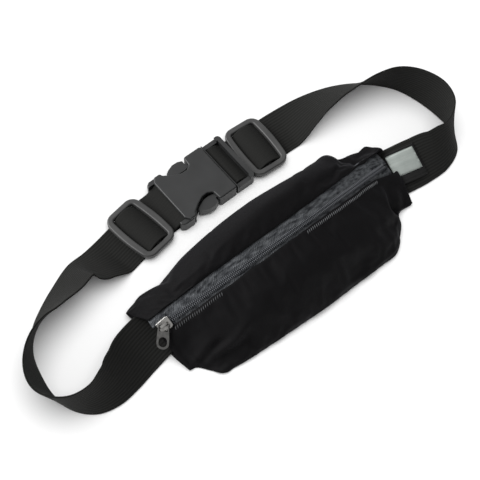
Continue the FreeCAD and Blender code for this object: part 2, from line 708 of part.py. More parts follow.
def make_belt():
    width = size("webbing_width")
    thick = size("webbing_thick")
    for side, route, heading in (("left", LEFT_ROUTE, -1), ("right", RIGHT_ROUTE, 1)):
        strap = webbing_solid(webbing_frames(route, heading), 0, width, 0, thick)
        feature("belt_strap_" + side, strap)

    turn = size("bar_height") - thick / 2
    left_path = arc_path(-size("socket_bar"), size("bar_height"), turn, -88, 88) + LEFT_TAIL
    right_path = arc_path(size("plug_bar"), size("bar_height"), turn, -92, -268) + RIGHT_TAIL
    for side, path in (("left", left_path), ("right", right_path)):
        loop = folded_webbing(path, thick - 0.2, width)
        loop.Placement = BUCKLE_SEAT
        feature("strap_loop_" + side, loop.cut(hump_space(side)))

    for side, seat in GLIDE_SEATS.items():
        feature("triglide_web_" + side, folded_webbing(GLIDE_HUMP, thick, width - 0.8), seat)
        feature("strap_end_" + side, sewn_end(width - 1), seat)


def make_reflective_tab():
    """A flat ribbon loop sewn into the right-hand end over the belt, with a reflective strip on it."""
    frames = webbing_frames(RIGHT_ROUTE, 1)[1:4]
    thick = size("webbing_thick")
    feature("reflective_tab_backing", webbing_solid(frames, 7, 34, thick + 0.3, thick + 1.5))
    feature("reflective_tab", webbing_solid(frames, 14, 32, thick + 1.6, thick + 2.0))


# ---------------------------------------------------------------- pouch shell

# Along the pouch: X, the front edge's Y and the back edge's Y.
STATIONS = [
    (-108, -20.5, 40.5),
    (-101, -24, 42),
    (-90, -38.5, 42.5),
    (-76, -43.5, 43.5),
    (-48, -46, 46),
    (0, -47, 46.5),
    (42, -47, 46),
    (66, -46, 44),
    (80, -39, 42),
    (94, -26, 39.5),
    (108, -20.5, 38.5),
]
BACK_SHEET_TOP = 1.2


def fullness(along):
    """0 at the end seams and 1 in the middle, as high as the zipper's arc."""
    base = math.sqrt(ZIP_RADIUS ** 2 - size("seam_reach") ** 2)
    return (math.sqrt(ZIP_RADIUS ** 2 - along ** 2) - base) / ZIP_SAG


def front_profile(along, front, back):
    full = fullness(along)
    top = zip_point(along, size("tape_half") + 0.3)
    low = Vector(along, front, 2.6 + 7.4 * full)
    middle = (top + low) * 0.5
    slope = top - low
    bulge = Vector(0, -slope.z, slope.y).normalize() * (1.5 + 5.0 * full)
    return [Vector(along, front + 1 + 2 * full, BACK_SHEET_TOP + 0.1), low, middle + bulge, top]


def top_profile(along, front, back):
    full = fullness(along)
    start = zip_point(along, -size("tape_half") - 0.3)
    reach = back - start.y
    return [
        start,
        Vector(along, start.y + 0.42 * reach, start.z - 0.3 + 0.1 * full),
        Vector(along, back - 2 - 3 * full, start.z * (0.62 + 0.13 * full)),
        Vector(along, back, start.z * 0.42),
        Vector(along, back - 1 - 3 * full, BACK_SHEET_TOP + 0.1),
    ]


def sheet_section(points, thickness):
    """A thin closed outline: a smooth line through the points, and its offset to the inner side."""
    outer = Part.BSplineCurve()
    outer.interpolate(points)
    inner_points = []
    for point in points:
        tangent = Vector(*outer.tangent(outer.parameter(point))[0])
        inner_points.append(point + Vector(0, tangent.z, -tangent.y) * thickness)
    inner = Part.BSplineCurve()
    inner.interpolate(inner_points[::-1])
    return Part.Wire([
        outer.toShape(),
        Part.makeLine(points[-1], inner_points[-1]),
        inner.toShape(),
        Part.makeLine(inner_points[0], points[0]),
    ])


def make_shell():
    thick = size("fabric_thick")
    for label, profile in (("front_panel", front_profile), ("top_panel", top_profile)):
        sections = [sheet_section(profile(*station), thick) for station in STATIONS]
        feature(label, Part.makeLoft(sections, True, False))
    front_edge = [Vector(along, front + 1, 0) for along, front, _ in STATIONS]
    back_edge = [Vector(along, back - 1, 0) for along, _, back in STATIONS]
    outline = Part.makePolygon(front_edge + back_edge[::-1] + front_edge[:1])
    feature("back_panel", Part.Face(outline).extrude(Vector(0, 0, BACK_SHEET_TOP)))


make_belt()
make_reflective_tab()
make_shell()


# ---------------------------------------------------------------- checks and files

doc.recompute()
for item in doc.Objects:
    if {"Invalid", "Error"} & set(item.State):
        raise RuntimeError(f"{item.Name} is {item.State}")
os.makedirs("parts", exist_ok=True)
for part in parts:
    if part.Shape.isNull() or not part.Shape.isValid() or not part.Shape.Solids:
        raise RuntimeError(f"{part.Label} has no valid solid")
    part.Shape.exportStep(f"parts/{part.Label}.step")
    print(f"{part.Label}: {len(part.Shape.Solids)} solid, {part.Shape.Volume / 1000:.2f} cm3")
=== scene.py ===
import json
import math

import bpy
from mathutils import Matrix, Vector, noise
from mathutils.bvhtree import BVHTree


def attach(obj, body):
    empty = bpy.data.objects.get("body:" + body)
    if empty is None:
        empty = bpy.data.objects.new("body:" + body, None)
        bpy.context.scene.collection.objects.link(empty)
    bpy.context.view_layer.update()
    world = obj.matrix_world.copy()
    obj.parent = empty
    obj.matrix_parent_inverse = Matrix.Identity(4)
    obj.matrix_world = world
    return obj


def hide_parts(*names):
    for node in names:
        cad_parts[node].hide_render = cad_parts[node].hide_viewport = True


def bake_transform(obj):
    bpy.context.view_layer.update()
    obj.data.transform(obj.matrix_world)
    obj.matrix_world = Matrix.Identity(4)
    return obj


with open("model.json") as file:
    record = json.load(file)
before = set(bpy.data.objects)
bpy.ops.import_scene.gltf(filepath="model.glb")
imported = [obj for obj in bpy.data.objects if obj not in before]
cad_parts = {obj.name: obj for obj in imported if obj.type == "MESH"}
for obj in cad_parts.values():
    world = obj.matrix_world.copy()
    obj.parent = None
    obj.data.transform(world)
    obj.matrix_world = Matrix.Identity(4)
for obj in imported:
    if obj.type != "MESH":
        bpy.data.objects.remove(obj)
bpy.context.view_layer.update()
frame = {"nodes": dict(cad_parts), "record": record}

# A zipped waist pouch on its belt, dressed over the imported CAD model.
# X runs along the zipper, Y from the pouch to the buckle and Z up, as in the CAD.
# Lengths are in millimetres and angles in degrees, unless a comment says metres; MM turns them into metres.

scene = bpy.context.scene
MM = 0.001
X_AXIS, Z_AXIS = Vector((1, 0, 0)), Vector((0, 0, 1))
WEB_WIDTH, WEB_THICK, WEB_RIBS = 38.0, 1.6, 16


# ---------------------------------------------------------------- camera, light and floor

# Views are azimuth and elevation.
CAMERA_VIEW, CAMERA_LENS, SENSOR_WIDTH = (-39, 62), 100, 36
CAMERA_DISTANCE, CAMERA_TARGET = 1.0, (-0.012, 0.039, 0)  # metres
KEY_VIEW, KEY_SPREAD = (-135, 42), 50
FLOOR_VIEW, FLOOR_SPREAD = (0, 90), 60
SKY_LIGHT, KEY_LIGHT, FLOOR_LIGHT = 0.55, 3.6, 2.2
FLOOR_REACH, FLOOR_DROP = 6.0, 0.0002  # metres
FLOOR_COLOUR, FLOOR_ROUGHNESS = (0.93, 0.93, 0.93), 0.9


def look_from(thing, view, distance, target):
    """Place a camera or lamp by its direction from a target; distance and target are in metres."""
    azimuth, elevation = (math.radians(angle) for angle in view)
    level = math.cos(elevation)
    back = Vector((math.sin(azimuth) * level, -math.cos(azimuth) * level, math.sin(elevation)))
    thing.location = Vector(target) + back * distance
    thing.rotation_mode = "QUATERNION"
    thing.rotation_quaternion = (-back).to_track_quat("-Z", "Y")


def make_camera():
    """The camera of the photograph."""
    data = bpy.data.cameras.new("camera")
    data.lens = CAMERA_LENS
    data.sensor_width = SENSOR_WIDTH
    camera = bpy.data.objects.new("camera", data)
    scene.collection.objects.link(camera)
    look_from(camera, CAMERA_VIEW, CAMERA_DISTANCE, CAMERA_TARGET)
    scene.camera = camera


def make_lamp(name, view, spread, strength):
    """A distant soft light that fills an angle."""
    data = bpy.data.lights.new(name, "SUN")
    data.angle = math.radians(spread)
    data.energy = strength
    lamp = bpy.data.objects.new(name, data)
    scene.collection.objects.link(lamp)
    look_from(lamp, view, 1.0, (0, 0, 0))
    return lamp


def light_floor(floor, key):
    """Keep the floor an even white: the key light leaves it out and it has a lamp of its own."""
    own = make_lamp("floor_light", FLOOR_VIEW, FLOOR_SPREAD, FLOOR_LIGHT)
    for name, state, lamp in (("lit_apart", "EXCLUDE", key), ("lit_alone", "INCLUDE", own)):
        group = bpy.data.collections.new(name)
        group.objects.link(floor)
        group.collection_objects[0].light_linking.link_state = state
        lamp.light_linking.receiver_collection = group


def make_studio():
    """A white sky, a soft key light and a white floor."""
    scene.view_settings.view_transform = "Standard"
    world = bpy.data.worlds.new("studio")
    scene.world = world
    world.use_nodes = True
    sky = world.node_tree.nodes["Background"]
    sky.inputs["Color"].default_value = (1.0, 1.0, 1.0, 1)
    sky.inputs["Strength"].default_value = SKY_LIGHT
    key = make_lamp("key", KEY_VIEW, KEY_SPREAD, KEY_LIGHT)
    corners = [(x * FLOOR_REACH, y * FLOOR_REACH, 0) for x, y in ((-1, -1), (1, -1), (1, 1), (-1, 1))]
    paper = Nodes("floor").set(Base_Color=(*FLOOR_COLOUR, 1), Roughness=FLOOR_ROUGHNESS)
    floor = new_piece("floor", corners, [(0, 1, 2, 3)], paper)
    floor.location.z = -FLOOR_DROP
    light_floor(floor, key)


# ---------------------------------------------------------------- materials

class Nodes:
    """A short way to wire a material's nodes. Lengths in materials are in metres, scales are per metre."""

    def __init__(self, name):
        self.material = bpy.data.materials.new(name)
        self.material.use_nodes = True
        self.tree = self.material.node_tree
        self.shader = self.tree.nodes["Principled BSDF"]

    def add(self, kind, inputs=None, **settings):
        node = self.tree.nodes.new("ShaderNode" + kind)
        for key, value in settings.items():
            setattr(node, key, value)
        for key, value in (inputs or {}).items():
            self.put(node.inputs[key], value)
        return node

    def put(self, socket, value):
        if isinstance(value, bpy.types.NodeSocket):
            self.tree.links.new(value, socket)
        else:
            socket.default_value = value

    def place(self):
        """Each point's place in the object."""
        return self.add("TexCoord").outputs["Object"]

    def cloth_place(self):
        """Each point's place on its cloth: X across it and Y along it."""
        return self.split(self.add("UVMap", uv_map="metres").outputs["UV"])

    def split(self, vector):
        return self.add("SeparateXYZ", {"Vector": vector}).outputs

    def maths(self, operation, one, two=0.0):
        return self.add("Math", {0: one, 1: two}, operation=operation).outputs[0]

    def total(self, *weighted):
        """The sum of some values, each given with its share."""
        parts = [self.maths("MULTIPLY", value, share) for value, share in weighted]
        result = parts[0]
        for part in parts[1:]:
            result = self.maths("ADD", result, part)
        return result

    def ridges(self, length, pitch):
        """Rounded ridges a pitch apart along a length: 0 to 1."""
        turns = self.maths("MULTIPLY", length, math.pi / pitch)
        return self.maths("ABSOLUTE", self.maths("SINE", turns))

    def weave(self, across, along, pitch):
        """Height of a plain weave with threads a pitch apart: 0 to 1."""
        return self.maths("MULTIPLY", self.ridges(across, pitch), self.ridges(along, pitch))

    def noise(self, vector, scale, detail):
        return self.add("TexNoise", {"Vector": vector, "Scale": scale, "Detail": detail}).outputs["Fac"]

    def between(self, factor, low, high):
        """A colour between two, by a factor. A Mix node's colour sockets have no names of their own."""
        first, second, result = 6, 7, 2
        node = self.add("Mix", {"Factor": factor}, data_type="RGBA")
        self.put(node.inputs[first], (*low, 1))
        self.put(node.inputs[second], (*high, 1))
        return node.outputs[result]

    def span(self, value, low, high):
        """A value of 0 to 1 stretched to low to high."""
        return self.add("MapRange", {"Value": value, "To Min": low, "To Max": high}).outputs["Result"]

    def bump(self, height, distance, strength, below=None):
        inputs = {"Height": height, "Distance": distance, "Strength": strength}
        if below:
            inputs["Normal"] = below
        return self.add("Bump", inputs).outputs["Normal"]

    def set(self, **sockets):
        for key, value in sockets.items():
            self.put(self.shader.inputs[key.replace("_", " ")], value)
        return self.material


def shell_fabric():
    """Near-black stretch fabric: a very fine weave, faint mottling, small creases and a soft sheen."""
    nodes = Nodes("shell_fabric")
    place = nodes.place()
    axes = nodes.split(place)
    thread_pitch = 0.55 * MM
    weave = nodes.weave(axes["X"], nodes.maths("ADD", axes["Y"], axes["Z"]), thread_pitch)
    mottle = nodes.noise(place, 90.0, 4.0)
    lint = nodes.noise(place, 1400.0, 2.0)
    creases = nodes.noise(place, 160.0, 3.0)
    fine = nodes.bump(weave, 0.06 * MM, 0.5)
    return nodes.set(
        Base_Color=nodes.between(mottle, (0.0034, 0.0032, 0.0036), (0.006, 0.0057, 0.0062)),
        Roughness=nodes.span(lint, 0.55, 0.75),
        Specular_IOR_Level=0.07,
        Sheen_Weight=0.04,
        Sheen_Roughness=0.4,
        Sheen_Tint=(0.62, 0.62, 0.75, 1),
        Normal=nodes.bump(creases, 0.35 * MM, 0.5, fine),
    )


def webbing(name, low, high, groove_shade_share=0.4):
    """Knitted elastic webbing: short stitches in ribs, with painted shade in the grooves between the ribs;
    the share after the colours is how much that painted shade darkens its tone.
    """
    nodes = Nodes(name)
    cloth = nodes.cloth_place()
    stitch_pitch, rib_pitch = 0.8 * MM, WEB_WIDTH * MM / WEB_RIBS
    stitches = nodes.weave(cloth["X"], cloth["Y"], stitch_pitch)
    # Painted shade: the tone is darkest on the grooves of the ribbed outline, where shade falls.
    ribs = nodes.ridges(cloth["X"], rib_pitch)
    fuzz = nodes.noise(nodes.place(), 900.0, 3.0)
    fine = nodes.bump(stitches, 0.22 * MM, 0.6)
    return nodes.set(
        Base_Color=nodes.between(nodes.total((stitches, 0.35), (fuzz, 0.25), (ribs, groove_shade_share)), low, high),
        Roughness=nodes.span(fuzz, 0.66, 0.88),
        Specular_IOR_Level=0.1,
        Sheen_Weight=0.03,
        Sheen_Roughness=0.4,
        Normal=nodes.bump(fuzz, 0.12 * MM, 0.5, fine),
    )


def zipper_cloth():
    """Coated zipper tape: slanted ribs, streaky crinkles whose light and shade are painted into its tone, and
    a greyish sheen.
    """
    nodes = Nodes("zipper_tape")
    cloth = nodes.cloth_place()
    place = nodes.place()
    rib_pitch, wander, slant = 1.3 * MM, 2.4 * MM, 0.6
    slanted = nodes.total((cloth["Y"], 1.0), (cloth["X"], slant), (nodes.noise(place, 260.0, 2.0), wander))
    ribs = nodes.ridges(slanted, rib_pitch)
    streaked = nodes.add("Mapping", {"Vector": place, "Scale": (0.5, 2.0, 2.0)}).outputs["Vector"]
    crinkles_and_painted_shade = nodes.noise(streaked, 230.0, 6.0)
    # Painted light and shade of the crinkles: the tone is darker in their hollows and lighter on their
    # crests.
    tone = nodes.total((ribs, 0.25), (nodes.span(crinkles_and_painted_shade, -1.0, 2.0), 0.75))
    crinkled = nodes.bump(crinkles_and_painted_shade, 1.1 * MM, 0.8)
    return nodes.set(
        Base_Color=nodes.between(tone, (0.013, 0.0137, 0.0155), (0.08, 0.086, 0.094)),
        Roughness=nodes.span(crinkles_and_painted_shade, 0.7, 0.35),
        Specular_IOR_Level=nodes.span(crinkles_and_painted_shade, -0.5, 0.9),
        Sheen_Weight=0.05,
        Sheen_Roughness=0.35,
        Normal=nodes.bump(ribs, 0.3 * MM, 0.9, crinkled),
    )


def moulded_plastic(name, low, high):
    """Black plastic with a fine moulded grain and a cloudy polish."""
    nodes = Nodes(name)
    place = nodes.place()
    grain = nodes.noise(place, 2600.0, 2.0)
    cloudy = nodes.noise(place, 70.0, 4.0)
    return nodes.set(
        Base_Color=nodes.between(cloudy, low, high),
        Roughness=nodes.span(cloudy, 0.36, 0.56),
        Specular_IOR_Level=0.5,
        Normal=nodes.bump(grain, 0.03 * MM, 0.6),
    )


def plated_metal(name, low, high, roughness):
    """Gunmetal plating, cloudy and slightly pitted."""
    nodes = Nodes(name)
    cloudy = nodes.noise(nodes.place(), 350.0, 3.0)
    return nodes.set(
        Base_Color=nodes.between(cloudy, low, high),
        Metallic=1.0,
        Roughness=nodes.span(cloudy, roughness - 0.08, roughness + 0.1),
        Normal=nodes.bump(cloudy, 0.05 * MM, 0.5),
    )


def reflective_material():
    """Grey tape of fine glass beads in a faint diagonal grid."""
    nodes = Nodes("reflective_strip")
    cloth = nodes.cloth_place()
    grid_pitch = 1.1 * MM
    one = nodes.maths("ADD", cloth["X"], cloth["Y"])
    two = nodes.maths("SUBTRACT", cloth["X"], cloth["Y"])
    grid = nodes.weave(one, two, grid_pitch)
    cloudy = nodes.noise(nodes.place(), 130.0, 3.0)
    tone = nodes.total((grid, 0.35), (cloudy, 0.65))
    return nodes.set(
        Base_Color=nodes.between(tone, (0.23, 0.26, 0.243), (0.4, 0.43, 0.41)),
        Roughness=0.42,
        Metallic=0.25,
        Normal=nodes.bump(grid, 0.05 * MM, 0.6),
    )


# ---------------------------------------------------------------- mesh helpers

def new_piece(name, points, faces, material, metres=None):
    """A smooth-shaded mesh object; metres gives each point's place on the cloth, in metres, as UVs."""
    mesh = bpy.data.meshes.new(name)
    mesh.from_pydata([tuple(p) for p in points], [], faces)
    if metres:
        layer = mesh.uv_layers.new(name="metres")
        for loop in mesh.loops:
            layer.data[loop.index].uv = metres[loop.vertex_index]
    mesh.materials.append(material)
    mesh.polygons.foreach_set("use_smooth", [True] * len(mesh.polygons))
    mesh.update()
    piece = bpy.data.objects.new(name, mesh)
    scene.collection.objects.link(piece)
    return piece


def grid_faces(rows, columns, closed=False):
    """Quads between rows of points; closed joins each row's last point to its first."""
    faces = []
    for i in range(rows - 1):
        for j in range(columns if closed else columns - 1):
            k = (j + 1) % columns
            faces.append((i * columns + j, i * columns + k, (i + 1) * columns + k, (i + 1) * columns + j))
    return faces


def tube_faces(rings, sides, first=0, flip=False):
    """Faces of a capped tube whose points start at index first; flip is for rings that turn the other way."""
    faces = grid_faces(rings, sides, closed=True)
    faces.append(tuple(range(sides))[::-1])
    faces.append(tuple(range((rings - 1) * sides, rings * sides)))
    return [tuple(first + k for k in (face[::-1] if flip else face)) for face in faces]


def ramp(value, low, high):
    """0 up to low, 1 from high on, and a straight line between."""
    return min(1.0, max(0.0, (value - low) / (high - low)))


def smoothstep(value, low, high):
    t = ramp(value, low, high)
    return t * t * (3 - 2 * t)


def smooth_line(points, per_span):
    """A smooth line through points, which are tuples of any length."""
    line = []
    last = len(points) - 1
    for i in range(last):
        p1, p2 = points[i], points[i + 1]
        p0 = points[i - 1] if i else [2 * a - b for a, b in zip(p1, p2)]
        p3 = points[i + 2] if i + 2 <= last else [2 * b - a for a, b in zip(p1, p2)]
        for step in range(per_span):
            t = step / per_span
            line.append([
                0.5 * (2 * b + (c - a) * t + (2 * a - 5 * b + 4 * c - d) * t * t
                       + (3 * b - a - 3 * c + d) * t ** 3)
                for a, b, c, d in zip(p0, p1, p2, p3)
            ])
    line.append(list(points[last]))
    return line


def ride_as(piece, body, slot, *nodes):
    """The piece moves with a body and stands for CAD nodes."""
    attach(piece, body)
    if nodes:
        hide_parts(*nodes)


def apply_modifiers(piece):
    """Turn a piece's modifiers into its mesh."""
    seen = piece.evaluated_get(bpy.context.evaluated_depsgraph_get())
    mesh = bpy.data.meshes.new_from_object(seen)
    piece.modifiers.clear()
    piece.data = mesh


def thicken(piece, thickness):
    """Give a sheet its thickness, to the inner side of its faces."""
    solid = piece.modifiers.new("thickness", "SOLIDIFY")
    solid.thickness = thickness * MM
    solid.offset = -1.0
    apply_modifiers(piece)


# ---------------------------------------------------------------- belt webbing

RIB_DEPTH, PULLED_RIB_DEPTH, WEB_ROUND = 0.26, 0.06, 0.9
ROUTE_STEPS = 9
# The webbing's lower edge, from the pouch to the buckle: X, Y, height and roll.
LEFT_ROUTE = [
    (-98, -0.5, 1.5, 7),
    (-108, -2.2, 1.4, 11),
    (-125, -5, 0, 25),
    (-142.5, -8.5, 0, 43),
    (-159.5, -10, 0, 57),
    (-175.5, -5.5, 0, 74),
    (-187, 7, 0, 97),
    (-192, 24, 0, 109),
    (-190.5, 42, 0, 103),
    (-185.5, 60, 0, 84),
    (-174.5, 75.5, 0, 65),
    (-159.5, 86, 0, 52),
    (-143, 94.5, 0, 42),
    (-126, 101.5, 0, 37),
    (-111, 103.1, 0, 18),
    (-97, 105.5, 0, 0),
    (-83, 108.3, 0, 0),
    (-62, 111.4, 0, 0),
    (-46, 112.7, 0, 0),
    (-33, 113, 0, 0),
]
RIGHT_ROUTE = [
    (98, -8.5, 1.5, 11),
    (108, -10, 1.4, 16),
    (119, -11.8, 0.4, 24),
    (134, -13.5, 0, 36),
    (152, -13, 0, 51),
    (168.5, -5, 0, 66),
    (177, 12, 0, 88),
    (177.5, 30, 0, 99),
    (175, 48.5, 0, 95),
    (169.5, 65.5, 0, 83),
    (159.5, 79.5, 0, 68),
    (146.5, 91, 0, 54),
    (131, 100, 0, 43),
    (114.5, 106, 0, 32),
    (97, 110, 0, 17),
    (78, 112.1, 0, 0),
    (62, 112.7, 0, 0),
    (46, 113, 0, 0),
    (31, 113, 0, 0),
    (17.3, 113, 0, 0),
]
BUCKLE_ROW = 94.0
BAR_HEIGHT, SOCKET_BAR, PLUG_BAR = 4.65, -33.0, 17.3
BUCKLE_SEAT = Matrix.Translation((0, BUCKLE_ROW, 0))
GLIDE_SEATS = {
    "left": Matrix.Translation((-65.4, 91.3, 0)) @ Matrix.Rotation(math.radians(9), 4, "Z"),
    "right": Matrix.Translation((46.9, 92.5, 0)) @ Matrix.Rotation(math.radians(-3.5), 4, "Z"),
}
# X and Z of the webbing's middle: over a triglide's centre bar, then from the buckle's bars to the strap.
GLIDE_HUMP = [
    (-16, 2.5),
    (-13, 2.6),
    (-10.4, 3.2),
    (-7, 6.2),
    (-3.4, 7.9),
    (0, 8.3),
    (3.4, 7.9),
    (7, 6.2),
    (10.4, 3.2),
    (13, 2.6),
    (16, 2.5),
]
LEFT_TAIL = [(-36.7, 7.5), (-40.3, 5.2), (-43.6, 3.4), (-47, 2.7), (-51, 2.5)]
RIGHT_TAIL = [(21, 7.4), (24, 5.2), (27, 3.5), (30, 2.7), (33, 2.5)]
# The webbing's sewn end is narrower and pulled thin round a triglide's centre bar.
END_WIDTH, END_THICK, END_RADII = WEB_WIDTH - 1, 1.0, (2.4, 1.95)


def belt_frames(route, heading):
    """
    Frames along a belt route: the lower edge, the way across and the way out of the outer face.
    Going along the route, the webbing lies to the left of its lower edge (heading 1) or to the right (-1).
    """
    line = smooth_line(route, ROUTE_STEPS)
    frames = []
    for i, (x, y, height, roll) in enumerate(line):
        before, after = line[max(i - 1, 0)], line[min(i + 1, len(line) - 1)]
        tangent = Vector((after[0] - before[0], after[1] - before[1], 0)).normalized()
        roll = math.radians(max(roll, 0))
        across = Vector((-tangent.y, tangent.x, 0)) * heading * math.cos(roll) + Z_AXIS * math.sin(roll)
        outward = tangent.cross(across) * heading
        lift = max(0.0, -outward.z * WEB_THICK)
        frames.append((Vector((x, y, max(height, 0) + lift)), across, outward))
    return frames


def folded_frames(path, seat, width, thick=WEB_THICK, per_span=5):
    """Frames along a line of X and Z in a seat's own frame, with the webbing centred on it."""
    line = smooth_line(path, per_span)
    turned = seat.to_3x3()
    frames = []
    for i, (x, z) in enumerate(line):
        before, after = line[max(i - 1, 0)], line[min(i + 1, len(line) - 1)]
        tangent = Vector((after[0] - before[0], 0, after[1] - before[1])).normalized()
        outward = Vector((-tangent.z, 0, tangent.x))
        if path[-1][0] < path[0][0]:
            outward.negate()
        start = Vector((x, -width / 2, z)) - outward * thick / 2
        frames.append((seat @ start, turned @ Vector((0, 1, 0)), turned @ outward))
    return frames


def round_bar(centre, start, end, radii, steps=6):
    """Points round a webbing bar, by angle from +X towards +Z."""
    angles = [math.radians(start + (end - start) * i / steps) for i in range(steps + 1)]
    return [(centre + radii[0] * math.cos(a), BAR_HEIGHT + radii[1] * math.sin(a)) for a in angles]


def webbing_section(width, thick, ribs, rib_depth):
    """The webbing's ribbed outline with rounded edges: distance across and height over its inner face."""
    steps = 4 * ribs
    upper = []
    lower = []
    for i in range(steps + 1):
        across = width * i / steps
        inset = min(across, width - across, WEB_ROUND)
        half = thick / 2 * math.sqrt(1 - (1 - inset / WEB_ROUND) ** 2)
        groove = rib_depth * (0.5 + 0.5 * math.cos(math.tau * i / 4)) if inset == WEB_ROUND else 0
        upper.append((across, thick / 2 + half - groove))
        lower.append((across, thick / 2 - half + groove))
    return upper + lower[-2:0:-1]


def make_webbing(name, frames, material, width=WEB_WIDTH, thick=WEB_THICK, start=0.0, ribs=WEB_RIBS,
                 rib_depth=RIB_DEPTH):
    """A strip of webbing along its frames, set in by start from their edge, with closed ends."""
    section = webbing_section(width, thick, ribs, rib_depth)
    middles = [edge + across * width / 2 + outward * thick / 2 for edge, across, outward in frames]
    points = []
    metres = []
    travelled = 0.0
    for i, (edge, across, outward) in enumerate(frames):
        if i:
            travelled += (middles[i] - middles[i - 1]).length
        for reach, height in section:
            points.append((edge + across * (start + reach) + outward * height) * MM)
            metres.append((reach * MM, travelled * MM))
    piece = new_piece(name, points, tube_faces(len(frames), len(section)), material, metres)
    piece["length"] = travelled * MM
    return piece


def make_straps(cloth):
    """
    The webbing from the pouch's ends to the buckle.
    """
    left = make_webbing("belt_left", belt_frames(LEFT_ROUTE, -1), cloth)
    ride_as(left, "pouch", "belt_webbing", "belt_strap_left")
    right = make_webbing("belt_right", belt_frames(RIGHT_ROUTE, 1), cloth)
    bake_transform(right)
    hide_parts("belt_strap_right")


def make_turns(cloth):
    """The webbing round the buckle's two bars."""
    radius = BAR_HEIGHT - WEB_THICK / 2
    turns = (
        ("left", round_bar(SOCKET_BAR, -88, 88, (radius, radius)) + LEFT_TAIL, "pouch", -38.0, -50.0),
        ("right", round_bar(PLUG_BAR, -92, -268, (radius, radius)) + RIGHT_TAIL, "buckle_male", 21.0, 31.0),
    )
    for side, path, body, fixed, moving in turns:
        frames = folded_frames(path, BUCKLE_SEAT, WEB_WIDTH)
        turn = make_webbing(f"belt_turn_{side}", frames, cloth, rib_depth=PULLED_RIB_DEPTH)
        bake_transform(turn)
        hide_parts("strap_loop_" + side)


def make_belt():
    """The straps, their turns at the buckle, and the hump and sewn end of webbing in each triglide."""
    cloth = webbing("belt_webbing", (0.003, 0.003, 0.0028), (0.024, 0.0242, 0.0228))
    # The pulled webbing has flatter ribs and only a faint painted shade in their grooves.
    pulled = webbing("belt_webbing_pulled", (0.007, 0.007, 0.0066), (0.032, 0.0322, 0.0305), 0.06)
    make_straps(cloth)
    make_turns(pulled)
    end_path = round_bar(0.0, -100, -440, END_RADII, 16)
    for side, seat in GLIDE_SEATS.items():
        over_bar = folded_frames(GLIDE_HUMP, seat, WEB_WIDTH)
        hump = make_webbing(f"belt_hump_{side}", over_bar, pulled, rib_depth=PULLED_RIB_DEPTH)
        ride_as(hump, side + "_adjuster", "belt_webbing", "triglide_web_" + side)
        round_it = folded_frames(end_path, seat, END_WIDTH, END_THICK, per_span=2)
        end = make_webbing(f"belt_end_{side}", round_it, cloth, END_WIDTH, END_THICK)
        ride_as(end, side + "_adjuster", "belt_webbing", "strap_end_" + side)


# ---------------------------------------------------------------- reflective tab

# The tab lies over these frames of the right-hand strap.
TAB_FRAMES = slice(9, 28)
RIBBON_WIDTH, RIBBON_THICK, RIBBON_INSET, RIBBON_RIBS = 27, 1.0, 7, 10
RIBBON_GAP, RIBBON_ARCH = 0.15, 1.3
STRIP_WIDTH, STRIP_THICK, STRIP_INSET, STRIP_RIBS = 18, 0.35, 14, 3
STRIP_GAP = 0.05


def make_tab():
    """The ribbon loop with its reflective strip, over the belt at the right-hand end."""
    frames = belt_frames(RIGHT_ROUTE, 1)[TAB_FRAMES]
    lifted = []
    for i, (edge, across, outward) in enumerate(frames):
        arch = RIBBON_ARCH * math.sin(math.pi * i / (len(frames) - 1))
        lifted.append((edge + outward * (WEB_THICK + RIBBON_GAP + arch), across, outward))
    cloth = webbing("tab_ribbon", (0.008, 0.008, 0.008), (0.02, 0.02, 0.02))
    ribbon = make_webbing("tab_ribbon", lifted, cloth, RIBBON_WIDTH, RIBBON_THICK, RIBBON_INSET, RIBBON_RIBS)
    ride_as(ribbon, "pouch", "tab_ribbon", "reflective_tab_backing")
    lift = RIBBON_THICK + STRIP_GAP
    over = [(edge + outward * lift, across, outward) for edge, across, outward in lifted[1:-1]]
    grey = reflective_material()
    strip = make_webbing("tab_reflective", over, grey, STRIP_WIDTH, STRIP_THICK, STRIP_INSET, STRIP_RIBS)
    ride_as(strip, "pouch", "reflective_strip", "reflective_tab")


# ---------------------------------------------------------------- zipper

# The zipper's centre line is an arc between the pouch's end seams, which leans to the front as it rises.
SEAM_REACH, ZIP_RISE, ZIP_LEAN = 108.0, 29.0, 11.0
ZIP_END = Vector((0, 13.5, 15.0))
ZIP_SAG = math.hypot(ZIP_RISE, ZIP_LEAN)
ZIP_RADIUS = (SEAM_REACH ** 2 + ZIP_SAG ** 2) / (2 * ZIP_SAG)
ZIP_OUT = Vector((0, -ZIP_LEAN, ZIP_RISE)) / ZIP_SAG
ZIP_ACROSS = X_AXIS.cross(ZIP_OUT)
ZIP_CENTRE = ZIP_END - ZIP_OUT * (ZIP_RADIUS - ZIP_SAG)
# In this section a side is 1 towards the pouch's front and -1 towards its back.
TAPE_THICK, TAPE_UNDER, TAPE_PAST_SEAM = 0.7, 0.35, 2.5
TAPE_HIDDEN = {1: 5.2, -1: 1.3}
# Each tape parts by this much at the slider's post, between these X, and stays parted to its end.
POST_HALF, POST_START, POST_FULL = 2.2, -103.0, -106.0
TAPE_GAP, DROOP_START, DROOP = 0.25, 4.0, 0.035
COIL_START, COIL_PITCH = -101.0, 1.35
COIL_OVERLAP, COIL_WIDTH, COIL_RISE, COIL_SUNK, COIL_THREAD = 0.35, 2.85, 1.6, 0.15, 0.42


def zip_frame(along):
    """The point of the zipper's centre line at an X, and the ways along and out of it."""
    turn = math.asin(along / ZIP_RADIUS)
    outward = ZIP_OUT * math.cos(turn) + X_AXIS * math.sin(turn)
    forward = X_AXIS * math.cos(turn) - ZIP_OUT * math.sin(turn)
    return ZIP_CENTRE + outward * ZIP_RADIUS, forward, outward


def zip_at(along, across, above=0.0):
    """A point beside the zipper's centre line; the tape droops where it is far from the coils."""
    point, _, outward = zip_frame(along)
    droop = DROOP * max(0.0, abs(across) - DROOP_START) ** 2
    return point + ZIP_ACROSS * across + outward * (above - droop)


